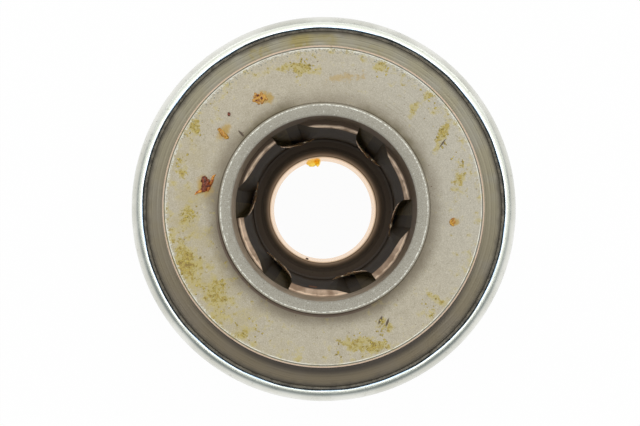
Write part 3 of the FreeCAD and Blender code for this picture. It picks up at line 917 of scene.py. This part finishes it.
def build_springs():
    """A coil spring behind each plunger, which gives way as its plunger slides in.

    Closeness is how much closer the end turns lie than an even coil's.
    """
    wire = 0.25
    coil = 1.15
    turns = 5
    start = 4.85
    end = 12.7
    closeness = 0.6
    steps = turns * 24
    for number in range(1, 7):
        node = "roller_spring_" + str(number)
        low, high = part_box("roller_" + str(number))
        roller = (low + high) / 2 / MM
        outward = Vector((roller.x, roller.y, 0)).normalized()
        along = Vector((-outward.y, outward.x, 0))
        up = Vector((0, 0, 1))
        places = []
        for step in range(steps + 1):
            share = step / steps
            turn = 2 * pi * turns * share
            reach = start + (end - start) * (share - closeness * sin(2 * pi * share) / (2 * pi))
            offset = (outward * cos(turn) + up * sin(turn)) * coil
            places.append(roller + along * reach + offset)
        mesh = bmesh.new()
        add_bead(mesh, places, [wire] * len(places), 10, along)
        spring = finished_piece("coil_spring_" + str(number), mesh, "drive", "spring_wire")
        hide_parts(node)
        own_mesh(spring)


# Small things on the drive: burrs, rust and grease

def build_groove_burrs():
    """The bright burr round each groove's closed end, strongest at its deepest point."""
    wide_side, narrow_side = 20.6, 14.4
    first_turn, sweep = 20, 104
    steps = 40
    mesh = bmesh.new()
    for groove in range(GROOVE_COUNT):
        places, radii = [], []
        for step in range(steps + 1):
            share = step / steps
            turn = radians(first_turn + sweep * share)
            side = wide_side if turn < pi / 2 else narrow_side
            angle = radians(FIRST_GROOVE + GROOVE_SPACING * groove + side * cos(turn))
            depth = GROOVE_LENGTH * sin(turn)
            places.append(around(LAND_RADIUS - 0.07, angle, SHOULDER - depth + 0.08))
            unevenness = 0.75 + 0.5 * noise.noise(places[-1] * 1.7)
            radii.append(0.03 + 0.24 * sin(pi * share) ** 0.8 * unevenness)
        add_bead(mesh, places, radii)
    finished_piece("groove_burrs", mesh, "drive", "worn_burr")


def build_rust():
    """Rust on the disc's face: dark nodules, an orange crust with tails, and amber crusts."""
    face = DISC_FACE - 0.04
    mesh = bmesh.new()
    add_lump(mesh, (-15.32, 3.69, face), (0.46, 0.52, 0.3))
    add_lump(mesh, (-15.1, 3.0, face), (0.85, 0.48, 0.36), 62, 0.5, 3)
    add_lump(mesh, (-15.45, 2.45, face), (0.5, 0.3, 0.22), 30, 0.5)
    add_lump(mesh, (-12.19, 12.1, face), (0.22, 0.24, 0.16))
    add_lump(mesh, (-8.5, 14.5, face), (0.2, 0.15, 0.13), 20)
    add_lump(mesh, (-8.0, 14.15, face), (0.15, 0.2, 0.13), 50)
    add_lump(mesh, (-8.7, 13.85, face), (0.17, 0.1, 0.12), -20)
    finished_piece("rust_nodules", mesh, "drive", "dark_rust")

    mesh = bmesh.new()
    add_lump(mesh, (-14.75, 2.75, face), (0.7, 0.22, 0.24), 66, 0.5)
    add_tail(mesh, ((-15.5, 2.5), (-15.9, 2.2), (-16.3, 2.05), (-16.6, 1.75)))
    add_tail(mesh, ((-14.6, 3.0), (-14.35, 3.6), (-14.2, 4.1), (-13.85, 4.4)))
    finished_piece("rust_crust", mesh, "drive", "orange_rust")

    mesh = bmesh.new()
    add_lump(mesh, (-12.95, 9.6, face), (0.85, 0.34, 0.22), -45, 0.5)
    add_lump(mesh, (-12.5, 9.15, face), (0.34, 0.26, 0.16), 0, 0.5)
    for step in range(16):
        turn = radians(137.5 * step)
        reach = 0.28 * step ** 0.5
        wide = 0.26 + 0.16 * noise.noise(Vector((step * 1.7, 0.4, 0)))
        place = (-8.25 + 0.85 * reach * cos(turn), 14.15 + 0.6 * reach * sin(turn), face)
        add_lump(mesh, place, (wide, 0.8 * wide, 0.05), 60 * step, 0.4)
    add_lump(mesh, (16.55, -1.72, face), (0.34, 0.26, 0.14), 20, 0.5)
    for step in range(3, 7):
        turn = radians(40 * step)
        place = (16.7 + 0.5 * cos(turn), -1.73 + 0.42 * sin(turn), face)
        add_lump(mesh, place, (0.24, 0.14, 0.1), 90 + 40 * step, 0.6)
    finished_piece("amber_crust", mesh, "drive", "amber_rust")


def build_grease_crumbs():
    """Dried grease broken to crumbs, thick where the stains are."""
    chance = Random(7)
    mesh = bmesh.new()

    def scatter(x, y, spread, count):
        """Crumbs about one place, none on the disc's edge or against the sleeve."""
        for _ in range(count):
            place = Vector((chance.gauss(x, spread * 0.6), chance.gauss(y, spread * 0.6),
                            DISC_FACE - 0.05))
            if 14.6 < hypot(place.x, place.y) < DISC_RADIUS - 0.6:
                wide = chance.uniform(0.07, 0.2)
                size = (wide, wide * chance.uniform(0.5, 1), wide * 0.5)
                add_lump(mesh, place, size, chance.uniform(0, 180), 0.6, 1)

    # At the left
    scatter(-17.8, -7.0, spread=1.6, count=34)
    scatter(-14.2, -10.6, spread=1.6, count=30)
    scatter(-17.3, -1.0, spread=1.2, count=20)
    scatter(-16.6, 10.6, spread=1.1, count=20)
    # At the top and the right
    scatter(-2.9, 18.3, spread=1.5, count=30)
    scatter(7.4, 18.2, spread=1.0, count=12)
    scatter(14.2, 13.8, spread=1.8, count=14)
    scatter(15.1, 9.4, spread=1.2, count=22)
    scatter(17.5, 5.7, spread=1.1, count=12)
    # At the bottom
    scatter(6.4, -17.2, spread=1.9, count=44)
    scatter(7.4, -14.6, spread=0.8, count=16)
    scatter(1.6, -18.2, spread=0.9, count=12)
    scatter(13.6, -12.6, spread=1.1, count=10)
    scatter(-9.8, -15.8, spread=1.8, count=14)
    # Thin ones at the upper left
    scatter(-13.4, 14.8, spread=1.6, count=10)
    scatter(-18.4, 6.0, spread=1.2, count=12)
    finished_piece("grease_crumbs", mesh, "drive", "dried_grease")


def build_bore_grease():
    """A bead of clean grease on the bore near its front end, and a speck of dirt opposite."""
    mesh = bmesh.new()
    angle = radians(102)
    add_lump(mesh, around(BUSH_BORE + 0.1, angle, 2.6), (1.25, 0.95, 1.1), 12, 0.16, 4)
    add_lump(mesh, around(BUSH_BORE + 0.1, angle - 0.1, 2.2), (0.6, 1.1, 0.8), 6, 0.16, 3)
    finished_piece("bore_grease", mesh, "pinion", "clean_grease")
    mesh = bmesh.new()
    add_lump(mesh, around(BUSH_BORE, radians(-108), 12.0), (0.3, 0.26, 0.4), -18, 0.5)
    finished_piece("bore_dirt", mesh, "pinion", "dark_rust")


build_disc()
build_guide_ring()
build_rim_grease()
build_shell()
build_springs()
build_groove_burrs()
build_rust()
build_grease_crumbs()
build_bore_grease()


# Floor, light and camera

def build_floor():
    """White paper, lit for the drive and plain white to the camera."""
    below_drive = (0, 0, -0.05 * MM)
    bpy.ops.mesh.primitive_circle_add(vertices=96, radius=4, fill_type="NGON", location=below_drive)
    floor = bpy.context.object
    floor.name = "studio_floor"
    paper = bpy.data.materials.new("studio_paper")
    paper.use_nodes = True
    tree = Tree(paper.node_tree)
    paper.node_tree.nodes.clear()
    path = tree.add("ShaderNodeLightPath").outputs
    seen = tree.math("MAXIMUM", path["Is Camera Ray"], path["Is Glossy Ray"])
    seen = tree.math("MAXIMUM", seen, path["Is Transmission Ray"])
    lit = tree.add("ShaderNodeBsdfDiffuse", {"Color": (0.9, 0.9, 0.9, 1)}).outputs[0]
    glow = tree.add("ShaderNodeEmission", {"Color": (1, 1, 1, 1), "Strength": 1.0}).outputs[0]
    both = tree.add("ShaderNodeMixShader", {0: tree.scaled(seen, 0.965), 1: lit, 2: glow})
    tree.add("ShaderNodeOutputMaterial", {"Surface": both.outputs[0]})
    floor.data.materials.append(paper)


def add_lamp(name, place, size, energy):
    """A soft white lamp above the drive, aimed at it."""
    light = bpy.data.lights.new(name, "AREA")
    light.shape = "RECTANGLE"
    light.size, light.size_y = size
    light.energy = energy
    light.color = (1.0, 0.985, 0.95)
    lamp = bpy.data.objects.new(name, light)
    lamp.location = place
    aim = Vector((0, 0, 0.05)) - Vector(place)
    lamp.rotation_euler = aim.to_track_quat("-Z", "Y").to_euler()
    bpy.context.scene.collection.objects.link(lamp)


def build_light():
    """White walls with a darker ceiling, a soft box and a lamp behind the lens."""
    world = bpy.data.worlds.new("studio")
    world.use_nodes = True
    bpy.context.scene.world = world
    world.node_tree.nodes.clear()
    tree = Tree(world.node_tree)
    where = tree.add("ShaderNodeTexCoord").outputs["Generated"]
    height = tree.add("ShaderNodeSeparateXYZ", {0: where}).outputs["Z"]
    wall, ceiling = (0.92, 0.92, 0.9, 1), (0.32, 0.36, 0.38, 1)
    room = tree.mix(tree.rise(height, 0.4, 0.92), wall, ceiling)
    camera_sees = tree.add("ShaderNodeLightPath").outputs["Is Camera Ray"]
    color = tree.mix(camera_sees, room, (1, 1, 1, 1))
    background = tree.add("ShaderNodeBackground", {"Color": color, "Strength": 1.0})
    tree.add("ShaderNodeOutputWorld", {"Surface": background.outputs[0]})
    add_lamp("soft_box", (0.02, 0.2, 0.62), (0.8, 0.5), 1.68)
    add_lamp("ring_light", (0.0, 0.0, 0.62), (0.22, 0.22), 0.55)


def build_camera():
    """A camera that looks straight down, just off the shaft's axis."""
    lens = bpy.data.cameras.new("camera")
    lens.lens = CAMERA_LENS
    lens.sensor_width = CAMERA_SENSOR
    lens.clip_start = 0.005
    lens.clip_end = 20
    camera = bpy.data.objects.new("camera", lens)
    camera.location = Vector(CAMERA_PLACE) * MM
    bpy.context.scene.collection.objects.link(camera)
    bpy.context.scene.camera = camera


build_floor()
build_light()
build_camera()
bpy.context.scene.view_settings.view_transform = "Standard"
